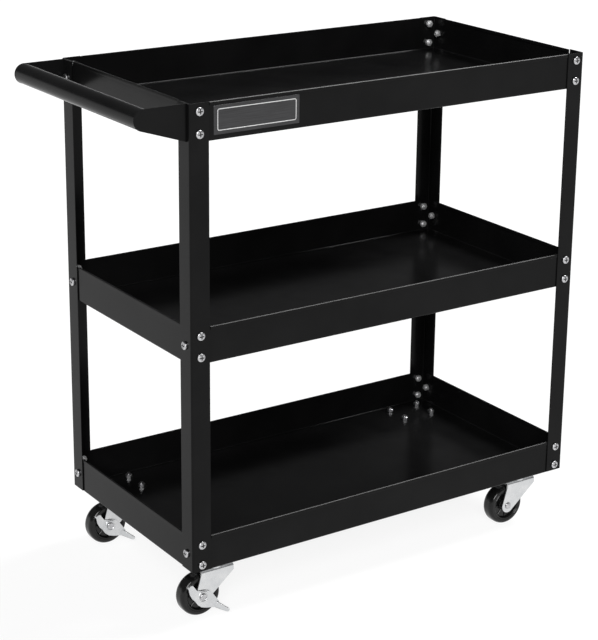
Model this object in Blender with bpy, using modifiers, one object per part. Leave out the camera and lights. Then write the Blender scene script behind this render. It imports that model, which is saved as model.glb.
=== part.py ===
"""A three-shelf steel tool cart: pressed trays bolted inside four angle legs, a formed
push handle at one end, and four swivel casters, two of them with a side brake lever.

Units are metres. +X runs along the cart away from the handle, -Y is the front long side
and +Z is up. The origin is on the floor, under the middle of the cart's bounding box.
"""

import math

import bmesh
import bpy
from mathutils import Matrix, Vector

# Overall layout
BODY_LENGTH = 0.690          # over the outer faces of the legs
BODY_DEPTH = 0.366
HANDLE_REACH = 0.080         # from the legs to the far side of the grip
LEG_TOP = 0.769
LEG_BOTTOM = 0.089
GAP = 0.0003                 # clearance between pieces that touch

# Sheet-steel trays
TRAY_BASES = {"bottom": 0.087, "middle": 0.401, "top": 0.715}
TRAY_HEIGHT = 0.054
TRAY_SHEET = 0.0012
TRAY_BEND = 0.003
HEM_HEIGHT = 0.005
HEM_PROUD = 0.0001           # how far the hem stands over the plain side of its wall
HEM_DEPTH = 0.0014           # how far the hem stands over the folded side of its wall
HEM_DROP = 0.0004            # how much lower the bare rim is at the corners
RELIEF_WIDTH = 0.003
RELIEF_DEPTH = 0.0065
RELIEF_OVERLAP = 0.0012      # how far each relief notch reaches behind its leg

# Angle legs
LEG_WIDTH = 0.030
LEG_SHEET = 0.0015
LEG_BEND = 0.003
TRAY_INSET = LEG_SHEET + GAP

# M6 bolts and nuts
LONG_BOLT_HEIGHTS = (0.012, 0.043)   # above the tray's underside, in the long sides
SHORT_BOLT_HEIGHT = 0.0275
LONG_BOLT_INSET = 0.015              # from the leg's outer corner
SHORT_BOLT_INSET = 0.0165
BOLT_RADIUS = 0.0029
BOLT_HOLE_RADIUS = 0.0034
HEAD_RADIUS = 0.006
HEAD_HEIGHT = 0.0034
NUT_FLATS = 0.010
NUT_HEIGHT = 0.005
BOLT_TIP = 0.0025
BOLT_STEPS = 10
HOLE_STEPS = 8

# Push handle
HANDLE_SHEET = 0.0015
HANDLE_FACE_INSET = 0.007    # side plates, in from the cart's long sides
GRIP_RADIUS = 0.015
GRIP_LIP = 0.0003            # how far the side plates stand out around the grip's ends
GRIP_CENTRE = (-0.065, 0.754)
GRIP_MOUTH_DEGREES = (-75, 25)       # open part of the rolled grip, from +X towards +Z
GRIP_STEPS = 20
HANDLE_FOOT = 0.717
HANDLE_TAB_DEPTH = 0.023

# Blank badge plate on the front of the top tray
BADGE_START = 0.038
BADGE_LENGTH = 0.137
BADGE_BASE = 0.0075          # above the tray's underside
BADGE_HEIGHT = 0.041
BADGE_SHEET = 0.0009
BADGE_CORNER = 0.0015

# Swivel casters
CASTER_INSET_X = 0.058       # swivel axis from the cart's ends
CASTER_INSET_Y = 0.042
PLATE_LENGTH = 0.076
PLATE_DEPTH = 0.060
PLATE_SHEET = 0.0025
PLATE_CORNER = 0.006
RACE_RADIUS = 0.0135
CROWN_TOP = 0.0790
CROWN_SHOULDER = 0.0745      # flat of the fork, around its raised middle
CROWN_BASE_RADIUS = 0.0135
CROWN_TOP_RADIUS = 0.0120
FORK_SHEET = 0.0022
FORK_HALF_LENGTH = 0.027
FORK_HALF_WIDTH = 0.0145
FORK_BEND = 0.004
KINGPIN_RADIUS = 0.005
KINGPIN_CLEARANCE = 0.0004
KINGPIN_RIVET_RADIUS = 0.0085
KINGPIN_RIVET_HEIGHT = 0.002
SWIVEL_STEPS = 20
WHEEL_RADIUS = 0.0325
WHEEL_TRAIL = 0.026          # axle behind the swivel axis
WHEEL_HALF_WIDTH = 0.0115
WHEEL_BORE_RADIUS = 0.0042
WHEEL_STEPS = 32
AXLE_RADIUS = 0.0038
AXLE_HEAD_RADIUS = 0.0055
AXLE_HEAD_HEIGHT = 0.0018
AXLE_NUT_FLATS = 0.010
AXLE_NUT_HEIGHT = 0.004
FORK_AXLE_HOLE_RADIUS = 0.0041
FORK_EYE_RADIUS = 0.0115
FORK_REAR_SHOULDER = 0.010   # how far the cheeks' upright edges reach down, on the wheel's side
FORK_FRONT_SHOULDER = 0.017

# Brake levers
LEVER_SHEET = 0.0018
LEVER_HOLE_RADIUS = 0.0042
CAM_REACH = 0.0028           # the cam tab's reach towards the wheel's side
PEDAL_ROOT = (0.0215, -0.0175)
PEDAL_LENGTH = 0.022
PEDAL_FLARE_DEGREES = 43
PEDAL_DROP_DEGREES = 24

HEAD_STAND = GAP + HEAD_HEIGHT
SPAN_X = HANDLE_REACH + BODY_LENGTH + HEAD_STAND
X_HANDLE = HANDLE_REACH - SPAN_X / 2      # outer faces of the legs at the handle end
X_FAR = X_HANDLE + BODY_LENGTH
Y_FRONT = -BODY_DEPTH / 2
Y_BACK = BODY_DEPTH / 2

END_X = {"handle": X_HANDLE, "far": X_FAR}
SIDE_Y = {"front": Y_FRONT, "back": Y_BACK}
END_INWARD = {"handle": 1, "far": -1}
SIDE_INWARD = {"front": 1, "back": -1}

# Colour, metallic and roughness of each finish
FINISHES = {
    "black_powder_coat": ((0.012, 0.012, 0.013), 0.0, 0.38),
    "badge_satin": ((0.045, 0.045, 0.048), 0.3, 0.35),
    "zinc_plate": ((0.72, 0.73, 0.75), 1.0, 0.30),
    "bolt_steel": ((0.60, 0.60, 0.61), 1.0, 0.32),
    "wheel_black": ((0.010, 0.010, 0.010), 0.0, 0.22),
}

PLANES = {
    "XY": Matrix.Identity(4),
    "XZ": Matrix.Rotation(math.radians(90), 4, "X"),
    "YZ": Matrix(((0, 0, 1, 0), (1, 0, 0, 0), (0, 1, 0, 0), (0, 0, 0, 1))),
}


def clear_scene():
    """Removes whatever the scene already holds."""
    for obj in list(bpy.data.objects):
        bpy.data.objects.remove(obj, do_unlink=True)


def new_collection(name):
    """A collection linked to the scene."""
    collection = bpy.data.collections.new(name)
    bpy.context.scene.collection.children.link(collection)
    return collection


def make_finish(name):
    """A Principled material with the finish's colour, metallic and roughness."""
    colour, metallic, roughness = FINISHES[name]
    material = bpy.data.materials.new(name)
    material.use_nodes = True
    shader = material.node_tree.nodes["Principled BSDF"]
    shader.inputs["Base Color"].default_value = (*colour, 1.0)
    shader.inputs["Metallic"].default_value = metallic
    shader.inputs["Roughness"].default_value = roughness
    return material


def arc(centre, radius, start, end, steps):
    """Points along an arc, from start to end in degrees."""
    points = []
    for step in range(steps + 1):
        angle = math.radians(start + (end - start) * step / steps)
        points.append((centre[0] + radius * math.cos(angle), centre[1] + radius * math.sin(angle)))
    return points


def scratch_object(mesh):
    """An object in the working collection, for shaping a mesh."""
    obj = bpy.data.objects.new("scratch", mesh)
    WORKSHOP.objects.link(obj)
    return obj


def weld(mesh):
    """Joins doubled vertices and points every face outwards."""
    bm = bmesh.new()
    bm.from_mesh(mesh)
    bmesh.ops.remove_doubles(bm, verts=bm.verts, dist=1e-6)
    bmesh.ops.recalc_face_normals(bm, faces=bm.faces)
    bm.to_mesh(mesh)
    bm.free()


def shape_result(obj):
    """The mesh an object makes with its modifiers, in world space. The object is removed."""
    bpy.context.view_layer.update()
    graph = bpy.context.evaluated_depsgraph_get()
    mesh = bpy.data.meshes.new_from_object(obj.evaluated_get(graph))
    mesh.transform(obj.matrix_world)
    weld(mesh)
    bpy.data.objects.remove(obj, do_unlink=True)
    return mesh


def prism(outline, plane, lower, upper):
    """A closed outline in a plane, extruded between two heights along the plane's normal."""
    curve = bpy.data.curves.new("outline", "CURVE")
    curve.dimensions = "2D"
    curve.fill_mode = "BOTH"
    curve.extrude = (upper - lower) / 2
    spline = curve.splines.new("POLY")
    spline.points.add(len(outline) - 1)
    for point, (u, v) in zip(spline.points, outline):
        point.co = (u, v, 0, 1)
    spline.use_cyclic_u = True
    obj = scratch_object(curve)
    normal = -1 if plane == "XZ" else 1
    obj.matrix_world = PLANES[plane] @ Matrix.Translation((0, 0, normal * (lower + upper) / 2))
    return shape_result(obj)


def block(low, high):
    """A box between two corners."""
    bm = bmesh.new()
    bmesh.ops.create_cube(bm, size=1)
    size = Vector(high) - Vector(low)
    middle = (Vector(high) + Vector(low)) / 2
    bmesh.ops.scale(bm, vec=size, verts=bm.verts)
    bmesh.ops.translate(bm, vec=middle, verts=bm.verts)
    mesh = bpy.data.meshes.new("block")
    bm.to_mesh(mesh)
    bm.free()
    return mesh


def drum(radius, lower, upper, steps, axis="Z", at=(0, 0, 0)):
    """A cylinder, or a hexagon prism with six steps, along an axis through a point."""
    bm = bmesh.new()
    bmesh.ops.create_cone(
        bm, cap_ends=True, segments=steps, radius1=radius, radius2=radius, depth=upper - lower
    )
    bmesh.ops.translate(bm, vec=(0, 0, (lower + upper) / 2), verts=bm.verts)
    turn = {"X": ("Y", 90), "Y": ("X", -90), "Z": ("Z", 0)}[axis]
    matrix = Matrix.Translation(at) @ Matrix.Rotation(math.radians(turn[1]), 4, turn[0])
    bmesh.ops.transform(bm, matrix=matrix, verts=bm.verts)
    mesh = bpy.data.meshes.new("drum")
    bm.to_mesh(mesh)
    bm.free()
    return mesh


def turned(profile, steps, closed=False):
    """A profile of (radius, height) points turned about Z."""
    mesh = bpy.data.meshes.new("turned")
    count = len(profile)
    edges = [(i, i + 1) for i in range(count - 1)]
    if closed:
        edges.append((count - 1, 0))
    mesh.from_pydata([(radius, 0, height) for radius, height in profile], edges, [])
    obj = scratch_object(mesh)
    screw = obj.modifiers.new("turn", "SCREW")
    screw.steps = steps
    screw.render_steps = steps
    screw.use_merge_vertices = True
    screw.merge_threshold = 1e-6
    return shape_result(obj)


def joined(meshes):
    """Several meshes as one, without uniting them."""
    bm = bmesh.new()
    for mesh in meshes:
        bm.from_mesh(mesh)
    result = bpy.data.meshes.new("joined")
    bm.to_mesh(result)
    bm.free()
    return result


def combine(mesh, operation, others):
    """A mesh after an exact union, difference or intersection with each of the others."""
    target = scratch_object(mesh)
    tools = []
    for other in others:
        tool = scratch_object(other)
        tool.display_type = "WIRE"
        tool.hide_render = True
        boolean = target.modifiers.new(operation.lower(), "BOOLEAN")
        boolean.operation = operation
        boolean.object = tool
        tools.append(tool)
    result = shape_result(target)
    for tool in tools:
        bpy.data.objects.remove(tool, do_unlink=True)
    return result


def bevelled(mesh, width, segments, angle=60):
    """A mesh with its sharp edges rounded."""
    obj = scratch_object(mesh)
    bevel = obj.modifiers.new("round", "BEVEL")
    bevel.width = width
    bevel.segments = segments
    bevel.limit_method = "ANGLE"
    bevel.angle_limit = math.radians(angle)
    return shape_result(obj)


def moved(mesh, matrix):
    """A copy of a mesh after a transform."""
    copy = mesh.copy()
    copy.transform(matrix)
    return copy


def add_node(name, mesh, finish, location=(0, 0, 0), rotation=(0, 0, 0), parent=None):
    """One named piece of the cart. The location and rotation are in world space."""
    mesh.shade_smooth()
    mesh.set_sharp_from_angle(angle=math.radians(35))
    if not mesh.materials:
        mesh.materials.append(MATERIALS[finish])
    obj = bpy.data.objects.new(name, mesh)
    CART.objects.link(obj)
    obj.location = location
    obj.rotation_euler = rotation
    if parent is not None:
        bpy.context.view_layer.update()
        obj.parent = parent
        obj.matrix_parent_inverse = parent.matrix_world.inverted()
    return obj


def bolt_places():
    """Every corner bolt as (name, point on the leg's outer face, outward axis)."""
    places = []
    for tray, base in TRAY_BASES.items():
        for side, y in SIDE_Y.items():
            for end, x in END_X.items():
                inward_x = END_INWARD[end]
                inward_y = SIDE_INWARD[side]
                for row, height in zip(("lower", "upper"), LONG_BOLT_HEIGHTS):
                    name = f"bolt_{tray}_{side}_{end}_{row}"
                    point = Vector((x + inward_x * LONG_BOLT_INSET, y, base + height))
                    places.append((name, point, Vector((0, -inward_y, 0))))
                name = f"bolt_{tray}_{side}_{end}_end"
                point = Vector((x, y + inward_y * SHORT_BOLT_INSET, base + SHORT_BOLT_HEIGHT))
                places.append((name, point, Vector((-inward_x, 0, 0))))
    return places


def bolt_holes(x_range, y_range, steps=HOLE_STEPS):
    """Cutters for the bolt holes within a stretch of the cart, as one mesh."""
    reach = 0.006
    cutters = []
    for _name, point, outward in bolt_places():
        if not (x_range[0] <= point.x <= x_range[1] and y_range[0] <= point.y <= y_range[1]):
            continue
        axis = "X" if abs(outward.x) > 0.5 else "Y"
        cutters.append(drum(BOLT_HOLE_RADIUS, -reach, reach, steps, axis, point))
    return joined(cutters)


def tray_mesh():
    """A folded pan with hemmed rims, on its underside at height zero."""
    half_x = BODY_LENGTH / 2 - TRAY_INSET
    half_y = BODY_DEPTH / 2 - TRAY_INSET
    pan = block((-half_x, -half_y, 0), (half_x, half_y, TRAY_HEIGHT - HEM_DROP))
    bm = bmesh.new()
    bm.from_mesh(pan)
    lids = [face for face in bm.faces if face.normal.z > 0.5]
    bmesh.ops.delete(bm, geom=lids, context="FACES_ONLY")
    bm.to_mesh(pan)
    bm.free()
    obj = scratch_object(pan)
    bevel = obj.modifiers.new("bends", "BEVEL")
    bevel.width = TRAY_BEND
    bevel.segments = 3
    sheet = obj.modifiers.new("sheet", "SOLIDIFY")
    sheet.thickness = TRAY_SHEET
    sheet.offset = -1
    sheet.use_even_offset = True
    pan = shape_result(obj)

    top = TRAY_HEIGHT
    low = TRAY_HEIGHT - HEM_HEIGHT
    hem_end_x = BODY_LENGTH / 2 - LEG_WIDTH - RELIEF_WIDTH / 2
    hem_end_y = BODY_DEPTH / 2 - LEG_WIDTH - GAP - RELIEF_WIDTH + RELIEF_OVERLAP
    hems = []
    for sign in (-1, 1):
        outer = sign * (half_y + HEM_DEPTH)
        inner = sign * (half_y - TRAY_SHEET - HEM_PROUD)
        hems.append(block((-hem_end_x, min(outer, inner), low), (hem_end_x, max(outer, inner), top)))
        outer = sign * (half_x + HEM_PROUD)
        inner = sign * (half_x - TRAY_SHEET - HEM_DEPTH)
        hems.append(block((min(outer, inner), -hem_end_y, low), (max(outer, inner), hem_end_y, top)))
    pan = combine(pan, "UNION", [bevelled(hem, 0.0006, 1) for hem in hems])

    reliefs = []
    for sign_x in (-1, 1):
        for sign_y in (-1, 1):
            middle_y = sign_y * (hem_end_y + RELIEF_WIDTH / 2)
            wall = Vector((sign_x * half_x, middle_y, 0))
            slot_foot = top - RELIEF_DEPTH + RELIEF_WIDTH / 2
            reach = Vector((0.004, RELIEF_WIDTH / 2, 0))
            slot = block(
                wall - reach + Vector((0, 0, slot_foot)), wall + reach + Vector((0, 0, top + 0.001))
            )
            foot = drum(
                RELIEF_WIDTH / 2, -0.004, 0.004, HOLE_STEPS, "X", wall + Vector((0, 0, slot_foot))
            )
            reliefs.append(combine(slot, "UNION", [foot]))
    return combine(pan, "DIFFERENCE", [joined(reliefs)])


def add_trays():
    """The three trays with their bolt holes."""
    blank = tray_mesh()
    everywhere = ((X_HANDLE - 0.01, X_FAR + 0.01), (Y_FRONT - 0.01, Y_BACK + 0.01))
    holes = bolt_holes(*everywhere)
    middle_x = (X_HANDLE + X_FAR) / 2
    for tray, base in TRAY_BASES.items():
        place = Matrix.Translation((middle_x, 0, base))
        mesh = combine(moved(blank, place), "DIFFERENCE", [holes.copy()])
        add_node(f"tray_{tray}", mesh, "black_powder_coat")


def add_legs():
    """The four angle legs, each around one corner of the trays."""
    for side, y in SIDE_Y.items():
        for end, x in END_X.items():
            inward_x = END_INWARD[end]
            inward_y = SIDE_INWARD[side]
            outline = [(LEG_WIDTH, 0), (LEG_WIDTH, LEG_SHEET)]
            inner_bend = LEG_BEND - LEG_SHEET
            outline += arc((LEG_BEND, LEG_BEND), inner_bend, 270, 180, 3)
            outline += [(LEG_SHEET, LEG_WIDTH), (0, LEG_WIDTH)]
            outline += arc((LEG_BEND, LEG_BEND), LEG_BEND, 180, 270, 4)
            outline = [(x + inward_x * u, y + inward_y * v) for u, v in outline]
            mesh = prism(outline, "XY", LEG_BOTTOM, LEG_TOP)
            near = LEG_WIDTH
            holes = bolt_holes((x - near, x + near), (y - near, y + near))
            mesh = combine(mesh, "DIFFERENCE", [holes])
            add_node(f"leg_{side}_{end}", mesh, "black_powder_coat")


def bolt_mesh(grip):
    """A pan-head bolt with its nut. The head bears on the plane z = 0 and faces +Z."""
    nut_face = -grip
    tip = nut_face - NUT_HEIGHT - BOLT_TIP
    profile = [
        (0, HEAD_HEIGHT),
        (HEAD_RADIUS * 0.62, HEAD_HEIGHT * 0.88),
        (HEAD_RADIUS, HEAD_HEIGHT * 0.35),
        (HEAD_RADIUS, 0),
        (BOLT_RADIUS, 0),
        (BOLT_RADIUS, tip),
        (0, tip),
    ]
    shank = turned(profile, BOLT_STEPS)
    nut = drum(NUT_FLATS / math.sqrt(3), nut_face - NUT_HEIGHT, nut_face, 6)
    return combine(shank, "UNION", [nut])


def add_bolts():
    """The corner bolts that tie trays, legs and handle together.

    The four end bolts of the middle and bottom trays at the handle end are alike
    and are left out.
    """
    sheets = LEG_SHEET + GAP + TRAY_SHEET
    plain = bolt_mesh(sheets + 2 * GAP)
    long = bolt_mesh(sheets + 3 * GAP + HANDLE_SHEET)
    for name, point, outward in bolt_places():
        at_handle_end = outward.x < -0.5
        if at_handle_end and "top" not in name:
            continue
        mesh = long if at_handle_end else plain
        stand = 2 * GAP + HANDLE_SHEET if at_handle_end else GAP
        rotation = Vector((0, 0, 1)).rotation_difference(outward).to_euler()
        add_node(name, mesh, "bolt_steel", point + outward * stand, rotation)


def handle_mesh():
    """One formed piece: two side plates with in-turned tabs and a rolled grip between them."""
    grip_x = X_HANDLE + GRIP_CENTRE[0]
    grip_z = GRIP_CENTRE[1]
    face_front = Y_FRONT + HANDLE_FACE_INSET
    face_back = Y_BACK - HANDLE_FACE_INSET
    leg_face = X_HANDLE - GAP

    foot = Vector((leg_face, HANDLE_FOOT))
    to_grip = Vector((grip_x, grip_z)) - foot
    lean = math.atan2(to_grip.y, to_grip.x)
    spread = math.acos(GRIP_RADIUS / to_grip.length)
    tangent = math.degrees(lean + math.pi - spread)
    outline = [tuple(foot), (leg_face, LEG_TOP)]
    outline += arc((grip_x, grip_z), GRIP_RADIUS, 90, tangent, 9)

    mouth_start, mouth_end = GRIP_MOUTH_DEGREES
    steps = GRIP_STEPS
    outside = GRIP_RADIUS - GRIP_LIP
    inside = outside - HANDLE_SHEET
    section = arc((grip_x, grip_z), outside, mouth_end, 360 + mouth_start, steps)
    section += arc((grip_x, grip_z), inside, 360 + mouth_start, mouth_end, steps)
    mesh = prism(section, "XZ", face_front + HANDLE_SHEET / 2, face_back - HANDLE_SHEET / 2)

    pieces = []
    for face, inward in ((face_front, 1), (face_back, -1)):
        near, far = sorted((face, face + inward * HANDLE_SHEET))
        pieces.append(prism(outline, "XZ", near, far))
        near, far = sorted((face, face + inward * HANDLE_TAB_DEPTH))
        tab = block((leg_face - HANDLE_SHEET, near, HANDLE_FOOT), (leg_face, far, LEG_TOP))
        pieces.append(tab)
    mesh = combine(mesh, "UNION", pieces)
    holes = []
    for name, point, outward in bolt_places():
        if outward.x < -0.5 and "top" in name:
            holes.append(drum(BOLT_HOLE_RADIUS, -0.006, 0.006, HOLE_STEPS, "X", point))
    return combine(mesh, "DIFFERENCE", [joined(holes)])


def add_badge():
    """The blank plate on the top tray's front wall."""
    wall = Y_FRONT + TRAY_INSET - GAP
    base = TRAY_BASES["top"] + BADGE_BASE
    start = X_HANDLE + BADGE_START
    low = (start, wall - BADGE_SHEET, base)
    high = (start + BADGE_LENGTH, wall, base + BADGE_HEIGHT)
    outline = []
    corners = ((high[0], high[2], 0), (low[0], high[2], 90), (low[0], low[2], 180), (high[0], low[2], 270))
    for x, z, angle in corners:
        toward_x = -1 if x == high[0] else 1
        toward_z = -1 if z == high[2] else 1
        centre = (x + toward_x * BADGE_CORNER, z + toward_z * BADGE_CORNER)
        outline += arc(centre, BADGE_CORNER, angle, angle + 90, 3)
    mesh = prism(outline, "XZ", low[1], high[1])
    add_node("badge_plate", mesh, "badge_satin")


def caster_plate_mesh():
    """The caster's top plate with its race cup and riveted kingpin, on the swivel axis."""
    plate_top = TRAY_BASES["bottom"] - GAP
    plate_bottom = plate_top - PLATE_SHEET
    plate = block(
        (-PLATE_LENGTH / 2, -PLATE_DEPTH / 2, plate_bottom), (PLATE_LENGTH / 2, PLATE_DEPTH / 2, plate_top)
    )
    obj = scratch_object(plate)
    bevel = obj.modifiers.new("corners", "BEVEL")
    bevel.width = PLATE_CORNER
    bevel.segments = 3
    bevel.limit_method = "WEIGHT"
    bm = bmesh.new()
    bm.from_mesh(plate)
    weight = bm.edges.layers.float.new("bevel_weight_edge")
    for edge in bm.edges:
        upright = abs(edge.verts[0].co.z - edge.verts[1].co.z) > PLATE_SHEET / 2
        edge[weight] = 1.0 if upright else 0.0
    bm.to_mesh(plate)
    bm.free()
    plate = shape_result(obj)

    race_bottom = CROWN_TOP + GAP
    rivet_top = CROWN_TOP - FORK_SHEET - GAP
    rivet_bottom = rivet_top - KINGPIN_RIVET_HEIGHT
    profile = [
        (0, plate_bottom + PLATE_SHEET / 2),
        (RACE_RADIUS, plate_bottom + PLATE_SHEET / 2),
        (RACE_RADIUS, race_bottom + 0.001),
        (RACE_RADIUS - 0.001, race_bottom),
        (KINGPIN_RADIUS, race_bottom),
        (KINGPIN_RADIUS, rivet_top),
        (KINGPIN_RIVET_RADIUS, rivet_top),
        (KINGPIN_RIVET_RADIUS - 0.001, rivet_bottom),
        (0, rivet_bottom),
    ]
    return combine(plate, "UNION", [turned(profile, SWIVEL_STEPS)])


def crown_boss(inset, drop):
    """The raised middle of the fork's crown about the swivel axis, less an inset and a drop."""
    foot = CROWN_SHOULDER - drop - 0.002
    profile = [
        (0, foot),
        (CROWN_BASE_RADIUS - inset, foot),
        (CROWN_BASE_RADIUS - inset, CROWN_SHOULDER - drop + 0.0005),
        (CROWN_TOP_RADIUS - inset, CROWN_TOP - drop),
        (0, CROWN_TOP - drop),
    ]
    return turned(profile, SWIVEL_STEPS)


def fork_mesh():
    """The caster's fork on the swivel axis: an inverted channel with a raised crown, trimmed
    to slanting cheeks."""
    bend = FORK_BEND
    half = FORK_HALF_WIDTH
    inner = half - FORK_SHEET
    top = CROWN_SHOULDER
    low = WHEEL_RADIUS - FORK_EYE_RADIUS - 0.002
    section = [(half, low)]
    section += arc((half - bend, top - bend), bend, 0, 90, 3)
    section += arc((bend - half, top - bend), bend, 90, 180, 3)
    section += [(-half, low), (-inner, low)]
    inner_bend = bend - FORK_SHEET
    section += arc((bend - half, top - bend), inner_bend, 180, 90, 2)
    section += arc((half - bend, top - bend), inner_bend, 90, 0, 2)
    section += [(inner, low)]
    channel = prism(section, "YZ", -FORK_HALF_LENGTH - 0.012, FORK_HALF_LENGTH + 0.002)
    channel = combine(channel, "UNION", [crown_boss(0, 0)])
    channel = combine(channel, "DIFFERENCE", [crown_boss(FORK_SHEET, FORK_SHEET)])

    eye = (-WHEEL_TRAIL, WHEEL_RADIUS)
    rear = CROWN_TOP - FORK_REAR_SHOULDER
    front = CROWN_TOP - FORK_FRONT_SHOULDER
    outline = [(FORK_HALF_LENGTH, front), (FORK_HALF_LENGTH, CROWN_TOP + 0.001)]
    outline += [(-FORK_HALF_LENGTH, CROWN_TOP + 0.001), (-FORK_HALF_LENGTH, rear)]
    outline += arc(eye, FORK_EYE_RADIUS, 172, 318, 8)
    cheeks = prism(outline, "XZ", -half - 0.001, half + 0.001)
    mesh = combine(channel, "INTERSECT", [cheeks])
    hole_radius = KINGPIN_RADIUS + KINGPIN_CLEARANCE
    kingpin_hole = drum(hole_radius, CROWN_TOP - 0.01, CROWN_TOP + 0.01, SWIVEL_STEPS)
    axle_hole = drum(
        FORK_AXLE_HOLE_RADIUS, -half - 0.001, half + 0.001, HOLE_STEPS + 4, "Y", (eye[0], 0, eye[1])
    )
    return combine(mesh, "DIFFERENCE", [kingpin_hole, axle_hole])


def wheel_mesh():
    """A solid wheel with a crowned tread, a recessed web and a hub, its axle along Y."""
    side = [
        (WHEEL_BORE_RADIUS, WHEEL_HALF_WIDTH),
        (0.0085, WHEEL_HALF_WIDTH),
        (0.0100, 0.0062),
        (0.0205, 0.0057),
        (0.0230, 0.0105),
        (0.0285, 0.0110),
        (0.0312, 0.0084),
        (WHEEL_RADIUS, 0.0037),
    ]
    other_side = [(radius, -height) for radius, height in reversed(side)]
    mesh = turned(side + other_side, WHEEL_STEPS, closed=True)
    mesh.transform(Matrix.Rotation(math.radians(90), 4, "X"))
    return mesh


def axle_mesh(lever_stack):
    """The wheel's axle along Y: a low domed head at -Y and a nut at +Y."""
    head_face = FORK_HALF_WIDTH + GAP + lever_stack
    nut_face = -FORK_HALF_WIDTH - GAP
    tip = nut_face - AXLE_NUT_HEIGHT - 0.0015
    profile = [
        (0, head_face + AXLE_HEAD_HEIGHT),
        (AXLE_HEAD_RADIUS * 0.7, head_face + AXLE_HEAD_HEIGHT * 0.85),
        (AXLE_HEAD_RADIUS, head_face + AXLE_HEAD_HEIGHT * 0.3),
        (AXLE_HEAD_RADIUS, head_face),
        (AXLE_RADIUS, head_face),
        (AXLE_RADIUS, tip),
        (0, tip),
    ]
    bolt = turned(profile, HOLE_STEPS + 4)
    nut = drum(AXLE_NUT_FLATS / math.sqrt(3), nut_face - AXLE_NUT_HEIGHT, nut_face, 6)
    mesh = combine(bolt, "UNION", [nut])
    mesh.transform(Matrix.Rotation(math.radians(90), 4, "X"))
    return mesh


def lever_mesh():
    """The stamped brake lever about the axle: a cam tab by the wheel's side, and a flared pedal."""
    outer = -FORK_HALF_WIDTH - GAP - LEVER_SHEET
    inner = -FORK_HALF_WIDTH - GAP
    tip = arc((-0.0195, 0.0180), 0.0047, 55, 185, 5)
    outline = [(0.0270, -0.0145), (0.0165, 0.0010), (0.0105, 0.0068), (0.0035, 0.0096)]
    outline += [(-0.0040, 0.0102), (-0.0105, 0.0126)]
    outline += tip
    outline += [(-0.0226, 0.0090), (-0.0185, 0.0012), (-0.0140, -0.0035), (-0.0095, -0.0105)]
    outline += [(-0.0030, -0.0160), (0.0050, -0.0187), (0.0130, -0.0203), (0.0200, -0.0220)]
    plate = prism(outline, "XZ", outer, inner)

    cam_outline = tip + [(-0.0215, 0.0150), (-0.0180, 0.0180)]
    cam = prism(cam_outline, "XZ", outer + LEVER_SHEET / 2, inner + CAM_REACH)

    half = LEVER_SHEET / 2
    pedal_outline = [(-0.001, 0.0048), (PEDAL_LENGTH - 0.002, 0.0030)]
    pedal_outline += arc((PEDAL_LENGTH - 0.0028, 0), 0.0028, 50, -50, 3)
    pedal_outline += [(PEDAL_LENGTH - 0.004, -0.0034), (-0.001, -0.0050)]
    pedal = prism(pedal_outline, "XZ", -half, half)
    drop = Matrix.Rotation(math.radians(PEDAL_DROP_DEGREES), 4, "Y")
    flare = Matrix.Rotation(math.radians(-PEDAL_FLARE_DEGREES), 4, "Z")
    root = Matrix.Translation((PEDAL_ROOT[0], inner - half, PEDAL_ROOT[1]))
    pedal.transform(root @ flare @ drop)
    mesh = combine(plate, "UNION", [cam, pedal])
    hole = drum(LEVER_HOLE_RADIUS, outer - 0.001, inner + 0.001, HOLE_STEPS + 4, "Y")
    return combine(mesh, "DIFFERENCE", [hole])


def add_casters():
    """A caster under each corner, wheels trailing towards the handle, brakes at that end."""
    plate = caster_plate_mesh()
    fork = fork_mesh()
    wheel = wheel_mesh()
    lever = lever_mesh()
    axles = {"handle": axle_mesh(LEVER_SHEET + GAP), "far": axle_mesh(0)}
    for side, y in SIDE_Y.items():
        for end, x in END_X.items():
            name = f"caster_{side}_{end}"
            swivel = Vector(
                (x + END_INWARD[end] * CASTER_INSET_X, y + SIDE_INWARD[side] * CASTER_INSET_Y, 0)
            )
            hub = swivel + Vector((-WHEEL_TRAIL, 0, WHEEL_RADIUS))
            add_node(f"{name}_plate", plate, "zinc_plate", swivel)
            fork_node = add_node(f"{name}_fork", fork, "zinc_plate", swivel)
            add_node(f"{name}_wheel", wheel, "wheel_black", hub, parent=fork_node)
            add_node(f"{name}_axle", axles[end], "bolt_steel", hub, parent=fork_node)
            if end == "handle":
                add_node(f"{name}_brake_lever", lever, "zinc_plate", hub, parent=fork_node)


clear_scene()
CART = new_collection("tool_cart")
WORKSHOP = new_collection("tool_cart_cutters")
MATERIALS = {name: make_finish(name) for name in FINISHES}
add_trays()
add_legs()
add_node("handle", handle_mesh(), "black_powder_coat")
add_bolts()
add_badge()
add_casters()
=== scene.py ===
"""The looks of a black three-shelf tool cart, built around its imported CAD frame.

Every piece stands in the CAD's place: lengths are metres, +X runs away from the handle,
-Y is the front long side and +Z is up, with the origin on the floor.
"""

import math

import bmesh
import bpy
from mathutils import Matrix, Vector


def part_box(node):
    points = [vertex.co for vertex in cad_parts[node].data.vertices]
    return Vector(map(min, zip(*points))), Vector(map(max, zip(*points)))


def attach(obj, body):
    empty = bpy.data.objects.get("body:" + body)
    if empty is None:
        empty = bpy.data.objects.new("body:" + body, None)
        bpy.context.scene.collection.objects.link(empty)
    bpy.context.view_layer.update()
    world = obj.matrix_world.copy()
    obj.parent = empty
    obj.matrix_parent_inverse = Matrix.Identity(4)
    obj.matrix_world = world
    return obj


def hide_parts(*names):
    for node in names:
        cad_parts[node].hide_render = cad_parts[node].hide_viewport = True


# Camera
CAMERA_PLACE = (-1.5231, -2.2438, 1.3047)
CAMERA_AZIMUTH = -34.04
CAMERA_ELEVATION = 17.45
CAMERA_ROLL = 0.59
CAMERA_LENS = 104.8
CAMERA_SHIFT = -0.09

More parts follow.
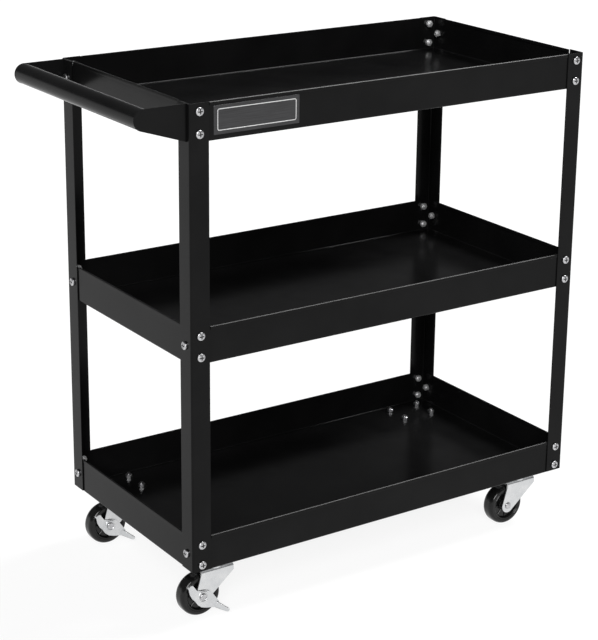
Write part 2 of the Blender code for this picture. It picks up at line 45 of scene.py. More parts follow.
# Studio. A sun is the direction towards it, its strength and its width in degrees.
RIM_SUN = ((0.534, -0.05, 0.845), 3.4, 24)
FRONT_SUN = ((-0.52, -0.68, 0.52), 2.6, 30)
FLOOR_SIZE = 60.0
FLOOR_COLOUR = (0.15, 0.15, 0.15)
FLOOR_GLOW = 0.88
HORIZON_COLOUR = (1.0, 1.0, 1.0, 1.0)
SKY_COLOUR = (0.15, 0.15, 0.152, 1.0)
HORIZON_TOP = 0.07                 # top of the bright band, as the sine of its elevation
HORIZON_FADE = 0.17                # where it has faded to the sky

# All over the cart
SIDES = ("front", "back")
ENDS = ("handle", "far")
GAP = 0.0003                       # clearance between neighbouring parts
EDGE_ROUND = 0.00035
CUT_MARGIN = 0.001                 # how far a cutter reaches past the faces it cuts

# Trays
TRAYS = ("bottom", "middle", "top")
TRAY_SHEET = 0.0012
TRAY_BEND = 0.003
TRAY_HEIGHT = 0.054
HEM_HEIGHT = 0.005
HEM_DEPTH = 0.0014
HEM_PROUD = 0.0001
HEM_DROP = 0.0004                  # how far the wall's edge lies under the hem's top
HEM_CORNER = 0.0006
HEM_SLOPE_DEGREES = 36
HEM_SLOPE_LENGTH = 0.0010
RELIEF_WIDTH = 0.003
RELIEF_DEPTH = 0.0065
RELIEF_OVERLAP = 0.0012
RELIEF_REACH = 0.004               # half the length of a relief's cutter, across the wall

# Legs
LEG_WIDTH = 0.030
LEG_SHEET = 0.0015
LEG_BEND = 0.003

# Handle
HANDLE_SHEET = 0.0015
GRIP_RADIUS = 0.015
GRIP_LIP = 0.0003
GRIP_MOUTH_DEGREES = (-75, 25)
HANDLE_FOOT = 0.717
HANDLE_TAB_DEPTH = 0.023
GRIP_INSET = 0.0004                # the grip's ends and the tabs' faces lie this far inside the
TAB_INSET = 0.0002                 # side plates, so that no two faces coincide

# Bolts
HEAD_RADIUS = 0.006
HEAD_HEIGHT = 0.0034
HEAD_EDGE = 0.0003                 # the small round of the bearing edge
BOLT_RADIUS = 0.0029
BOLT_TIP = 0.0025
THREAD_PITCH = 0.0010
THREAD_DEPTH = 0.0003
NUT_FLATS = 0.010
NUT_HEIGHT = 0.005
NUT_CHAMFER = 0.0007
NUT_FACE_SHARE = 0.97              # width of the nut's round face over its flats
DOME_POWER = 0.75                  # how square the head's profile is
DOME_RISE = 0.50                   # share of the head's height that is domed
RECESS_LENGTH = 0.0072
RECESS_WIDTH = 0.0017
RECESS_DEPTH = 0.0026
RECESS_RIM = 0.0004                # straight part of the recess at its mouth
RECESS_FOOT_SHARE = 0.35           # length of the recess at its foot over that at its mouth
RECESS_SHADE_DEPTH = 0.00012       # faces deeper than this under the dome get the recess's painted shade
SHORT_BOLT_INSET = 0.0165
SHORT_BOLT_HEIGHT = 0.0275

# Badge
BADGE_CORNER = 0.0015
BADGE_SLOPE = 0.0008               # how far its front face is set in, for the sloping edges
BADGE_LINE_INSET = 0.0055
BADGE_LINE_WIDTH = 0.0010
BADGE_LINE_PROUD = 0.00005
BADGE_LINE_SUNK = 0.0001
BADGE_EDGE_ROUND = 0.00012

# Casters
CASTER_BOLTS = (0.0285, 0.021)     # half the plate's bolt pattern along X and Y
PLATE_SHEET = 0.0025
PLATE_HALF_LENGTH = 0.038
PLATE_HALF_DEPTH = 0.030
PLATE_CORNER = 0.006
RACE_RADIUS = 0.0135
RACE_STEP = 0.0012                 # straight part of the race cup under the plate
RACE_ROUND = 0.0022
CROWN_TOP = 0.0790
CROWN_SHOULDER = 0.0715            # flat of the fork, around its raised middle
CROWN_BASE_RADIUS = 0.0135
CROWN_TOP_RADIUS = 0.0120
CROWN_ROUND = 0.0012
CROWN_FOOT_DEPTH = 0.002           # how far the crown's solid reaches into the fork's flat
CROWN_STEP = 0.0005
KINGPIN_RADIUS = 0.005
KINGPIN_CLEARANCE = 0.0004
RIVET_RADIUS = 0.0085
RIVET_ROUND = 0.0017
RIVET_HEIGHT = 0.002
FORK_SHEET = 0.0022
FORK_HALF_LENGTH = 0.027
FORK_HALF_WIDTH = 0.0145
FORK_BEND = 0.004
FORK_EYE_RADIUS = 0.0115
FORK_EYE_ARC = (172, 318)          # degrees round the axle between the cheek's two edges
FORK_EDGE_ROUND = 0.0004
FORK_REAR_SHOULDER = 0.010
FORK_FRONT_SHOULDER = 0.017
WHEEL_RADIUS = 0.0325
WHEEL_TRAIL = 0.026
WHEEL_RIBS = 8
WHEEL_RIB_BOX = ((0.009, -0.0006, 0.004), (0.0212, 0.0006, 0.0074))
WHEEL_RIB_ROUND = 0.0003
# One side of the wheel as (radius, half width) points, from the bore to the tread
WHEEL_HUB = ((0.0042, 0.0115), (0.0080, 0.0115), (0.0085, 0.0111), (0.0096, 0.0066))
WHEEL_WEB = ((0.0103, 0.0061), (0.0196, 0.0058), (0.0206, 0.0062))
WHEEL_RIM = ((0.0222, 0.0100), (0.0229, 0.0106), (0.0240, 0.0108), (0.0244, 0.0104))
WHEEL_TYRE = ((0.0250, 0.0104), (0.0254, 0.0109), (0.0278, 0.0110))
TREAD_MIDDLE = (0.0280, 0.0035)    # centre of the quarter ellipse that rounds the tread
TREAD_ROUND = (0.0045, 0.0075)     # its half sizes
AXLE_RADIUS = 0.0038
AXLE_HEAD_RADIUS = 0.0055
AXLE_HEAD_HEIGHT = 0.0018
# The dished middle of the axle's head as (radius, distance under its top) points
AXLE_DISH = ((0, 0.0004), (0.0012, 0.0003), (0.0019, 0), (0.0030, 0.0001))
AXLE_DISH_RADIUS = 0.0030
AXLE_NUT_HEIGHT = 0.004
AXLE_TIP = 0.0015
LEVER_SHEET = 0.0018
LEVER_EDGE_ROUND = 0.0003
RING_RADII = (0.0064, 0.0092)
RING_HEIGHT = 0.0009
RING_SUNK = 0.0006


def box_middle(low, high):
    """The middle of a box."""
    return (low + high) / 2


# ---------------------------------------------------------------- shapes


def new_object(name, data):
    """An object for a mesh, light or camera, linked to the scene."""
    obj = bpy.data.objects.new(name, data)
    bpy.context.scene.collection.objects.link(obj)
    return obj


def mesh_from(bm, name="shape"):
    """Turns a bmesh into a mesh with its normals facing outwards."""
    bmesh.ops.remove_doubles(bm, verts=bm.verts, dist=1e-7)
    bmesh.ops.recalc_face_normals(bm, faces=bm.faces)
    mesh = bpy.data.meshes.new(name)
    bm.to_mesh(mesh)
    bm.free()
    return mesh


def applied(obj):
    """The mesh an object makes with its modifiers. The object is removed."""
    bpy.context.view_layer.update()
    graph = bpy.context.evaluated_depsgraph_get()
    mesh = bpy.data.meshes.new_from_object(obj.evaluated_get(graph))
    mesh.transform(obj.matrix_world)
    bpy.data.objects.remove(obj, do_unlink=True)
    return mesh


def arc(centre, radius, start, end, steps):
    """Points along an arc, from start to end in degrees."""
    points = []
    for step in range(steps + 1):
        angle = math.radians(start + (end - start) * step / steps)
        points.append((centre[0] + radius * math.cos(angle), centre[1] + radius * math.sin(angle)))
    return points


def prism(outline, axis, lower, upper):
    """A closed outline extruded along X, Y or Z between two heights."""
    bm = bmesh.new()
    rings = []
    for height in (lower, upper):
        ring = []
        for u, v in outline:
            place = {"X": (height, u, v), "Y": (u, height, v), "Z": (u, v, height)}[axis]
            ring.append(bm.verts.new(place))
        rings.append(ring)
    bm.faces.new(rings[0])
    bm.faces.new(reversed(rings[1]))
    count = len(outline)
    for i in range(count):
        j = (i + 1) % count
        bm.faces.new((rings[0][i], rings[0][j], rings[1][j], rings[1][i]))
    return mesh_from(bm)


def block(low, high):
    """A box between two corners."""
    outline = [(low[0], low[1]), (high[0], low[1]), (high[0], high[1]), (low[0], high[1])]
    return prism(outline, "Z", low[2], high[2])


def turned(profile, steps, closed=False):
    """A profile of (radius, height) points turned about Z."""
    bm = bmesh.new()
    rings = []
    for radius, height in profile:
        if radius < 1e-9:
            rings.append([bm.verts.new((0, 0, height))])
            continue
        ring = []
        for step in range(steps):
            angle = 2 * math.pi * step / steps
            ring.append(bm.verts.new((radius * math.cos(angle), radius * math.sin(angle), height)))
        rings.append(ring)
    pairs = list(zip(rings, rings[1:]))
    if closed:
        pairs.append((rings[-1], rings[0]))
    for first, second in pairs:
        for i in range(steps):
            j = (i + 1) % steps
            corners = [first[i % len(first)], first[j % len(first)]]
            corners += [second[j % len(second)], second[i % len(second)]]
            face = []
            for corner in corners:
                if corner not in face:
                    face.append(corner)
            if len(face) > 2:
                bm.faces.new(face)
    return mesh_from(bm)


def joined(meshes):
    """Several meshes as one, without uniting them."""
    bm = bmesh.new()
    for mesh in meshes:
        bm.from_mesh(mesh)
    result = bpy.data.meshes.new("joined")
    bm.to_mesh(result)
    bm.free()
    return result


def moved(mesh, matrix):
    """A copy of a mesh after a transform."""
    copy = mesh.copy()
    copy.transform(matrix)
    return copy


def mesh_cleaned(mesh):
    """A mesh with its normals facing outwards again, after a mirror."""
    bm = bmesh.new()
    bm.from_mesh(mesh)
    return mesh_from(bm)


def combine(mesh, operation, others):
    """A mesh after an exact union, difference or intersection with each of the others."""
    target = new_object("target", mesh)
    tools = []
    for other in others:
        tool = new_object("tool", other)
        boolean = target.modifiers.new(operation, "BOOLEAN")
        boolean.operation = operation
        boolean.solver = "EXACT"
        boolean.object = tool
        tools.append(tool)
    result = applied(target)
    for tool in tools:
        bpy.data.objects.remove(tool, do_unlink=True)
    return result


def rounded(mesh, width, segments=2, angle=40):
    """A mesh with its sharp edges rounded."""
    obj = new_object("rounded", mesh)
    bevel = obj.modifiers.new("round", "BEVEL")
    bevel.width = width
    bevel.segments = segments
    bevel.limit_method = "ANGLE"
    bevel.angle_limit = math.radians(angle)
    return applied(obj)


def smooth(mesh, angle=32):
    """Smooth shading that keeps sharp edges, and keeps broad faces flat beside their rounds."""
    mesh.shade_smooth()
    mesh.set_sharp_from_angle(angle=math.radians(angle))
    obj = new_object("smooth", mesh)
    weighted = obj.modifiers.new("weighted", "WEIGHTED_NORMAL")
    weighted.keep_sharp = True
    return applied(obj)


# ---------------------------------------------------------------- materials


def link(tree, source, target):
    """Joins one node's output to another node's input."""
    tree.links.new(source, target)


def surface(name, colour, metallic, roughness, specular=0.5):
    """A Principled material with its uniform values set."""
    material = bpy.data.materials.new(name)
    material.use_nodes = True
    shader = material.node_tree.nodes["Principled BSDF"]
    shader.inputs["Base Color"].default_value = (*colour, 1.0)
    shader.inputs["Metallic"].default_value = metallic
    shader.inputs["Roughness"].default_value = roughness
    shader.inputs["Specular IOR Level"].default_value = specular
    return material


def noise(tree, scale, detail=2.0, stretch=None):
    """A noise texture in the piece's own metres, stretched along its axes if asked."""
    texture = tree.nodes.new("ShaderNodeTexNoise")
    texture.inputs["Scale"].default_value = scale
    texture.inputs["Detail"].default_value = detail
    coordinates = tree.nodes.new("ShaderNodeTexCoord")
    source = coordinates.outputs["Object"]
    if stretch is not None:
        mapping = tree.nodes.new("ShaderNodeMapping")
        mapping.inputs["Scale"].default_value = stretch
        link(tree, source, mapping.inputs["Vector"])
        source = mapping.outputs["Vector"]
    link(tree, source, texture.inputs["Vector"])
    return texture.outputs["Fac"]


def spread(tree, source, low, high, start=0.3, stop=0.7):
    """A value from low to high as the source goes from start to stop."""
    node = tree.nodes.new("ShaderNodeMapRange")
    node.inputs["From Min"].default_value = start
    node.inputs["From Max"].default_value = stop
    node.inputs["To Min"].default_value = low
    node.inputs["To Max"].default_value = high
    link(tree, source, node.inputs["Value"])
    return node.outputs["Result"]


def vary_roughness(material, source, low, high):
    """Lets a texture move the roughness between two values."""
    tree = material.node_tree
    link(tree, spread(tree, source, low, high), tree.nodes["Principled BSDF"].inputs["Roughness"])


def vary_colour(material, source, dark, light):
    """Lets a texture mix two colours."""
    tree = material.node_tree
    ramp = tree.nodes.new("ShaderNodeValToRGB")
    ramp.color_ramp.elements[0].position = 0.35
    ramp.color_ramp.elements[0].color = (*dark, 1.0)
    ramp.color_ramp.elements[1].position = 0.65
    ramp.color_ramp.elements[1].color = (*light, 1.0)
    link(tree, source, ramp.inputs["Fac"])
    link(tree, ramp.outputs["Color"], tree.nodes["Principled BSDF"].inputs["Base Color"])


def add_bumps(material, layers):
    """Bumps from (source, depth in metres) layers, the broadest first."""
    tree = material.node_tree
    normal = None
    for source, depth in layers:
        bump = tree.nodes.new("ShaderNodeBump")
        bump.inputs["Distance"].default_value = depth
        link(tree, source, bump.inputs["Height"])
        if normal is not None:
            link(tree, normal, bump.inputs["Normal"])
        normal = bump.outputs["Normal"]
    link(tree, normal, tree.nodes["Principled BSDF"].inputs["Normal"])


def powder_coat():
    """Semi-gloss black powder coat with a fine orange peel over slightly wavy sheet."""
    material = surface("cart_powder_coat", (0.005, 0.005, 0.0051), 0.0, 0.20, 0.085)
    tree = material.node_tree
    vary_colour(material, noise(tree, 14, 4), (0.0038, 0.0038, 0.0039), (0.0054, 0.0054, 0.0055))
    vary_roughness(material, noise(tree, 35, 3), 0.18, 0.235)
    add_bumps(material, [(noise(tree, 5, 1), 0.0002), (noise(tree, 420, 2), 0.000003)])
    return material


def zinc_plate():
    """Bright zinc plating, slightly cloudy and finely grained."""
    material = surface("caster_zinc", (0.60, 0.61, 0.62), 1.0, 0.30)
    tree = material.node_tree
    vary_colour(material, noise(tree, 60, 3), (0.57, 0.58, 0.59), (0.65, 0.655, 0.66))
    vary_roughness(material, noise(tree, 180, 3), 0.24, 0.36)
    add_bumps(material, [(noise(tree, 70, 2), 0.00008), (noise(tree, 1500, 2), 0.000003)])
    return material


def bolt_steel():
    """Plated screw steel with faint tool marks."""
    material = surface("bolt_steel_plated", (0.46, 0.46, 0.47), 1.0, 0.30)
    tree = material.node_tree
    vary_colour(material, noise(tree, 500, 3), (0.36, 0.36, 0.37), (0.58, 0.58, 0.59))
    vary_roughness(material, noise(tree, 800, 2), 0.24, 0.38)
    add_bumps(material, [(noise(tree, 2200, 2), 0.00001)])
    return material


def nut_painted_light():
    """Painted light: a duller, paler, less metallic copy of the plated steel for the corner nuts
    and the bolts' ends, so that they show bright where they sit in shade.
    """
    material = surface("nut_zinc_painted_light", (0.78, 0.78, 0.78), 0.66, 0.34)
    tree = material.node_tree
    vary_colour(material, noise(tree, 420, 3), (0.48, 0.48, 0.49), (0.95, 0.95, 0.95))
    vary_roughness(material, noise(tree, 700, 2), 0.26, 0.42)
    add_bumps(material, [(noise(tree, 1800, 2), 0.00001)])
    return material


def recess_painted_shade():
    """Painted shade for the inside of a driver recess: dull, dark steel that stands in for the
    shade in the hollow.
    """
    material = surface("bolt_recess_painted_shade", (0.05, 0.05, 0.05), 0.8, 0.5)
    tree = material.node_tree
    vary_colour(material, noise(tree, 900, 3), (0.03, 0.03, 0.03), (0.09, 0.09, 0.09))
    vary_roughness(material, noise(tree, 700, 2), 0.42, 0.60)
    return material


def wheel_plastic():
    """Glossy black moulded wheel with faint scuffs."""
    material = surface("wheel_gloss_black", (0.004, 0.004, 0.004), 0.0, 0.14, 0.28)
    tree = material.node_tree
    vary_colour(material, noise(tree, 90, 4), (0.003, 0.003, 0.003), (0.006, 0.006, 0.006))
    vary_roughness(material, noise(tree, 220, 4), 0.10, 0.24)
    add_bumps(material, [(noise(tree, 1800, 3), 0.000008)])
    return material


def badge_satin():
    """Dark satin plate brushed along its length."""
    material = surface("badge_brushed", (0.030, 0.030, 0.031), 0.3, 0.34, 0.4)
    tree = material.node_tree
    grain = noise(tree, 900, 3, stretch=(0.03, 1.0, 1.0))
    vary_colour(material, grain, (0.024, 0.024, 0.025), (0.038, 0.038, 0.040))
    vary_roughness(material, noise(tree, 80, 3), 0.28, 0.40)
    add_bumps(material, [(grain, 0.00001)])
    return material


def badge_paint():
    """Pale enamel line, a little uneven."""
    material = surface("badge_enamel", (0.62, 0.62, 0.62), 0.0, 0.35, 0.4)
    tree = material.node_tree
    vary_colour(material, noise(tree, 400, 3), (0.56, 0.56, 0.56), (0.68, 0.68, 0.68))
    vary_roughness(material, noise(tree, 300, 2), 0.28, 0.42)
    return material


def floor_paper():
    """Pale matt studio floor."""
    material = surface("studio_floor", FLOOR_COLOUR, 0.0, 0.9, 0.0)
    tree = material.node_tree
    shader = tree.nodes["Principled BSDF"]
    shader.inputs["Emission Color"].default_value = (1.0, 1.0, 1.0, 1.0)
    shader.inputs["Emission Strength"].default_value = FLOOR_GLOW
    vary_roughness(material, noise(tree, 3, 2), 0.85, 0.95)
    return material


# ---------------------------------------------------------------- pieces


def place_piece(name, mesh, material, body, place=None, nodes=()):
    """One visible piece: placed, given its material, and riding on its CAD body."""
    if not mesh.materials:
        mesh.materials.append(material)
    obj = new_object(name, mesh)
    if place is not None:
        obj.matrix_world = place
    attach(obj, body)
    if nodes:
        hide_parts(*nodes)
    return obj


def hem_strip(length, inner, outer, low, top):
    """A folded hem along X: a tall bar with a sloping shoulder towards its outer face."""
    corner = HEM_CORNER
    slope = math.radians(HEM_SLOPE_DEGREES)
    run = HEM_SLOPE_LENGTH * math.cos(slope)
    drop = HEM_SLOPE_LENGTH * math.sin(slope)
    turn = 90 - HEM_SLOPE_DEGREES
    crest = (outer - corner - run, top - corner)
    outline = arc((inner + corner, top - corner), corner, 180, 90, 5)
    outline += arc(crest, corner, 90, turn, 4)
    outline += arc((crest[0] + run, crest[1] - drop), corner, turn, 0, 5)
    outline += arc((outer - corner, low + corner), corner, 0, -90, 4)
    outline += arc((inner + corner, low + corner), corner, -90, -180, 4)
    return prism(outline, "X", -length / 2, length / 2)


def tray_mesh(half_x, half_y):
    """A folded pan with rolled hems, on its underside at height zero, about its middle."""
    bm = bmesh.new()
    bm.from_mesh(block((-half_x, -half_y, 0), (half_x, half_y, TRAY_HEIGHT - HEM_DROP)))
    lids = [face for face in bm.faces if face.normal.z > 0.5]
    bmesh.ops.delete(bm, geom=lids, context="FACES_ONLY")
    obj = new_object("pan", bpy.data.meshes.new("pan"))
    bm.to_mesh(obj.data)
    bm.free()
    bevel = obj.modifiers.new("bends", "BEVEL")
    bevel.width = TRAY_BEND
    bevel.segments = 6
    sheet = obj.modifiers.new("sheet", "SOLIDIFY")
    sheet.thickness = TRAY_SHEET
    sheet.offset = -1
    sheet.use_even_offset = True
    pan = applied(obj)

    low = TRAY_HEIGHT - HEM_HEIGHT
    hem_end_x = half_x + LEG_SHEET + GAP - LEG_WIDTH - RELIEF_WIDTH / 2
    hem_end_y = half_y + LEG_SHEET - LEG_WIDTH - RELIEF_WIDTH + RELIEF_OVERLAP
    long_hem = hem_strip(
        2 * hem_end_x, half_y - TRAY_SHEET - HEM_PROUD, half_y + HEM_DEPTH, low, TRAY_HEIGHT
    )
    short_hem = hem_strip(
        2 * hem_end_y, half_x - TRAY_SHEET - HEM_DEPTH, half_x + HEM_PROUD, low, TRAY_HEIGHT
    )
    hems = []
    for turns in (0, 2):
        hems.append(moved(long_hem, Matrix.Rotation(turns * math.pi / 2, 4, "Z")))
        hems.append(moved(short_hem, Matrix.Rotation((turns + 1) * math.pi / 2, 4, "Z")))

    reliefs = []
    foot = TRAY_HEIGHT - RELIEF_DEPTH + RELIEF_WIDTH / 2
    for sign_x in (-1, 1):
        # At the far end the notches lie half behind the legs.
        behind_leg = RELIEF_WIDTH / 2 if sign_x > 0 else 0
        for sign_y in (-1, 1):
            middle = sign_y * (hem_end_y + RELIEF_WIDTH / 2 + behind_leg)
            outline = [(middle + RELIEF_WIDTH / 2, TRAY_HEIGHT + CUT_MARGIN)]
            outline += arc((middle, foot), RELIEF_WIDTH / 2, 0, -180, 8)
            outline += [(middle - RELIEF_WIDTH / 2, TRAY_HEIGHT + CUT_MARGIN)]
            ends = (sign_x * (half_x - RELIEF_REACH), sign_x * (half_x + RELIEF_REACH))
            reliefs.append(prism(outline, "X", min(ends), max(ends)))
    pan = combine(pan, "DIFFERENCE", reliefs)
    return smooth(joined([pan, *hems]))


def add_trays(coat):
    """The three trays, each a pressed pan with its rolled hems."""
    low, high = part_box("tray_middle")
    half_x = (high.x - low.x) / 2 - HEM_PROUD
    half_y = (high.y - low.y) / 2 - HEM_DEPTH
    mesh = tray_mesh(half_x, half_y)
    for tray in TRAYS:
        node = f"tray_{tray}"
        low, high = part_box(node)
        middle = box_middle(low, high)
        place = Matrix.Translation((middle.x, middle.y, low.z))
        place_piece(f"{node}_pan", mesh, coat, "cart", place, [node])


def leg_mesh(height):
    """An angle leg with its outer corner at the origin, standing along +X and +Y."""
    outline = [(LEG_WIDTH, 0), (LEG_WIDTH, LEG_SHEET)]
    outline += arc((LEG_BEND, LEG_BEND), LEG_BEND - LEG_SHEET, 270, 180, 6)
    outline += [(LEG_SHEET, LEG_WIDTH), (0, LEG_WIDTH)]
    outline += arc((LEG_BEND, LEG_BEND), LEG_BEND, 180, 270, 10)
    return rounded(prism(outline, "Z", 0, height), EDGE_ROUND, 2, 60)


def add_legs(coat):
    """The four angle legs around the trays' corners."""
    low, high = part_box("leg_front_handle")
    straight = leg_mesh(high.z - low.z)
    mirrored = mesh_cleaned(moved(straight, Matrix.Scale(-1, 4, (0, 1, 0))))
    straight = smooth(straight)
    mirrored = smooth(mirrored)
    for side in SIDES:
        for end in ENDS:
            node = f"leg_{side}_{end}"
            low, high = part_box(node)
            x = low.x if end == "handle" else high.x
            y = low.y if side == "front" else high.y
            corner = Vector((x, y, low.z))
            turn = 0 if end == "handle" else math.pi
            mesh = straight if (side == "front") == (end == "handle") else mirrored
            place = Matrix.Translation(corner) @ Matrix.Rotation(turn, 4, "Z")
            place_piece(f"{node}_angle", mesh, coat, "cart", place, [node])


def handle_mesh(low, high, leg_face):
    """Two side plates with in-turned tabs and the rolled grip between them."""
    grip = Vector((low.x + GRIP_RADIUS, high.z - GRIP_RADIUS))
    foot = Vector((leg_face, HANDLE_FOOT))
    to_grip = grip - foot
    lean = math.atan2(to_grip.y, to_grip.x)
    opening_angle = math.acos(GRIP_RADIUS / to_grip.length)
    tangent = math.degrees(lean + math.pi - opening_angle)
    outline = [tuple(foot), (leg_face, high.z)]
    outline += arc(grip, GRIP_RADIUS, 90, tangent, 28)

    mouth_start, mouth_end = GRIP_MOUTH_DEGREES
    outside = GRIP_RADIUS - GRIP_LIP
    section = arc(grip, outside, mouth_end, 360 + mouth_start, 56)
    section += arc(grip, outside - HANDLE_SHEET, 360 + mouth_start, mouth_end, 56)
    tube = prism(section, "Y", low.y + GRIP_INSET, high.y - GRIP_INSET)
    pieces = [rounded(tube, EDGE_ROUND, 2, 60)]
    for face, inward in ((low.y, 1), (high.y, -1)):
        near, far = sorted((face, face + inward * HANDLE_SHEET))
        pieces.append(rounded(prism(outline, "Y", near, far), EDGE_ROUND, 2, 50))
        near, far = sorted((face + inward * TAB_INSET, face + inward * HANDLE_TAB_DEPTH))
        top = high.z - TAB_INSET
        tab = block((leg_face - HANDLE_SHEET, near, HANDLE_FOOT), (leg_face, far, top))
        pieces.append(rounded(tab, EDGE_ROUND, 2, 50))
    return smooth(joined(pieces))


def add_handle(coat):
    """The push handle at the cart's end."""
    low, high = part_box("handle")
    mesh = handle_mesh(low, high, high.x)
    place_piece("handle_formed", mesh, coat, "cart", None, ["handle"])


def thread_profile(start, stop, radius):
    """Ridges of a screw thread as (radius, height) points, going down from start."""
    points = []
    height = start
    while height - THREAD_PITCH > stop:
        points.append((radius, height))
        points.append((radius - THREAD_DEPTH, height - THREAD_PITCH / 2))
        height -= THREAD_PITCH
    return points


def nut_mesh(top, height=NUT_HEIGHT):
    """A chamfered hex nut hanging below a level."""
    corner = NUT_FLATS / math.sqrt(3)
    face = NUT_FLATS / 2 * NUT_FACE_SHARE
    rim = NUT_CHAMFER
    hexagon = arc((0, 0), corner, 0, 300, 5)
    cone = [
        (0, top),
        (face, top),
        (corner, top - rim),
        (corner, top - height + rim),
        (face, top - height),
        (0, top - height),
    ]
    return combine(prism(hexagon, "Z", top - height, top), "INTERSECT", [turned(cone, 36)])


def cross_cutter():
    """The cutter for a cross recess, pointing down into a head whose bearing face is at zero."""
    cutters = []
    top = HEAD_HEIGHT + CUT_MARGIN
    rim = HEAD_HEIGHT - RECESS_RIM
    foot = HEAD_HEIGHT - RECESS_DEPTH
    half = RECESS_LENGTH / 2
    half_foot = half * RECESS_FOOT_SHARE
    outline = [(-half, top), (half, top), (half, rim), (half_foot, foot)]
    outline += [(-half_foot, foot), (-half, rim)]
    for turn in (0, 90):
        blade = prism(outline, "Y", -RECESS_WIDTH / 2, RECESS_WIDTH / 2)
        cutters.append(moved(blade, Matrix.Rotation(math.radians(turn), 4, "Z")))
    return combine(cutters[0], "UNION", [cutters[1]])


def dome_height(rise):
    """Height of a bolt head's surface, from 0 at its rim to 1 at its middle."""
    return HEAD_HEIGHT * (1 - DOME_RISE + DOME_RISE * rise)


def bolt_mesh(grip, metals):
    """A cross-recess pan-head bolt with its nut. The head bears on z = 0 and faces +Z.

    Its metals are those of the head, of the driver recess, painted dark as shade, and of the nut
    and the bolt's end.
    """
    dome = []
    for step in range(7):
        angle = math.radians(90 - 90 * step / 6)
        radius = HEAD_RADIUS * max(math.cos(angle), 0.0) ** DOME_POWER
        dome.append((radius, dome_height(math.sin(angle))))
    edge = [(HEAD_RADIUS, HEAD_EDGE), (HEAD_RADIUS - HEAD_EDGE, 0), (0, 0)]
    head = turned(dome + edge, 36)
    head = combine(head, "DIFFERENCE", [cross_cutter()])
    tip = -grip - NUT_HEIGHT - BOLT_TIP
    shank = [(0, 0.0002), (BOLT_RADIUS, 0.0002)]
    shank += thread_profile(-grip - NUT_HEIGHT + 0.0005, tip, BOLT_RADIUS)
    shank += [(BOLT_RADIUS - THREAD_DEPTH, tip), (0, tip)]
    mesh = smooth(joined([head, turned(shank, 24), nut_mesh(-grip)]))
    for metal in metals:
        mesh.materials.append(metal)
    for face in mesh.polygons:
        # Nut and tip faces take the third material, which on the corner bolts is painted light.
        if face.center.z < -grip:
            face.material_index = 2
        reach = math.hypot(face.center.x, face.center.y)
        if reach > RECESS_LENGTH / 2 + 0.0001 or face.center.z < 0.0005:
            continue
        rise = math.sin(math.acos((reach / HEAD_RADIUS) ** (1 / DOME_POWER)))
        # Faces sunk below the dome get the dark recess material: painted shade in the cross
        # recess.
        if face.center.z < dome_height(rise) - RECESS_SHADE_DEPTH:
            face.material_index = 1
    return mesh


def bolt_turn(outward):
    """The rotation that points a bolt's head along an axis."""
    return Vector((0, 0, 1)).rotation_difference(outward).to_matrix().to_4x4()


def add_bolts(metals):
    """Every corner bolt, plus the four plain end bolts at the handle end."""
    sheets = LEG_SHEET + GAP + TRAY_SHEET
    plain = bolt_mesh(sheets + 2 * GAP, metals)
    long = bolt_mesh(sheets + 3 * GAP + HANDLE_SHEET, metals)
    for node in sorted(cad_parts):
        if not node.startswith("bolt_"):
            continue
        low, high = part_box(node)
        middle = box_middle(low, high)
        size = high - low
        if size.x > size.y:
            outward = Vector((1, 0, 0)) if "far" in node else Vector((-1, 0, 0))
            face = high.x - HEAD_HEIGHT if "far" in node else low.x + HEAD_HEIGHT
            seat = Vector((face, middle.y, middle.z))
        else:
            outward = Vector((0, -1, 0)) if "front" in node else Vector((0, 1, 0))
            face = low.y + HEAD_HEIGHT if "front" in node else high.y - HEAD_HEIGHT
            seat = Vector((middle.x, face, middle.z))
        mesh = long if outward.x < 0 else plain
        place = Matrix.Translation(seat) @ bolt_turn(outward)
        place_piece(f"{node}_screw", mesh, metals[0], "cart", place, [node])

    for tray in ("bottom", "middle"):
        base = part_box(f"tray_{tray}")[0].z
        for side in SIDES:
            low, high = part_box(f"leg_{side}_handle")
            y = low.y + SHORT_BOLT_INSET if side == "front" else high.y - SHORT_BOLT_INSET
            seat = Vector((low.x - GAP, y, base + SHORT_BOLT_HEIGHT))
            place = Matrix.Translation(seat) @ bolt_turn(Vector((-1, 0, 0)))
            name = f"bolt_{tray}_{side}_handle_end_screw"
            place_piece(name, plain, metals[0], "cart", place)


def round_rectangle(low, high, corner, steps=6):
    """A rectangle with rounded corners, in the XZ plane between two corners."""
    outline = []
    for x, z, angle in (
        (high.x, high.z, 0),
        (low.x, high.z, 90),
        (low.x, low.z, 180),
        (high.x, low.z, 270),
    ):
        toward_x = -corner if x == high.x else corner
        toward_z = -corner if z == high.z else corner
        outline += arc((x + toward_x, z + toward_z), corner, angle, angle + 90, steps)
    return outline


def add_badge(satin, paint):
    """The blank badge plate with sloping edges, and a plain painted line around it."""
    low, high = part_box("badge_plate")
    plate = prism(round_rectangle(low, high, BADGE_CORNER), "Y", low.y, high.y)
    middle = box_middle(low, high)
    for vertex in plate.vertices:
        if vertex.co.y < middle.y:
            vertex.co.x -= math.copysign(BADGE_SLOPE, vertex.co.x - middle.x)
            vertex.co.z -= math.copysign(BADGE_SLOPE, vertex.co.z - middle.z)
    plate = smooth(rounded(plate, BADGE_EDGE_ROUND, 2, 30), 25)
    place_piece("badge_blank", plate, satin, "cart", None, ["badge_plate"])

    inset = Vector((BADGE_LINE_INSET, 0, BADGE_LINE_INSET))
    width = Vector((BADGE_LINE_WIDTH, 0, BADGE_LINE_WIDTH))
    outer = round_rectangle(low + inset, high - inset, BADGE_CORNER * 2)
    corner = BADGE_CORNER * 2 - BADGE_LINE_WIDTH
    inner = round_rectangle(low + inset + width, high - inset - width, corner)
    face = low.y - BADGE_LINE_PROUD
    line = prism(outer, "Y", face, low.y + BADGE_LINE_SUNK)
    cutter = prism(inner, "Y", face - CUT_MARGIN, low.y + CUT_MARGIN)
    line = combine(line, "DIFFERENCE", [cutter])
    place_piece("badge_line", smooth(line), paint, "cart")


# ---------------------------------------------------------------- casters


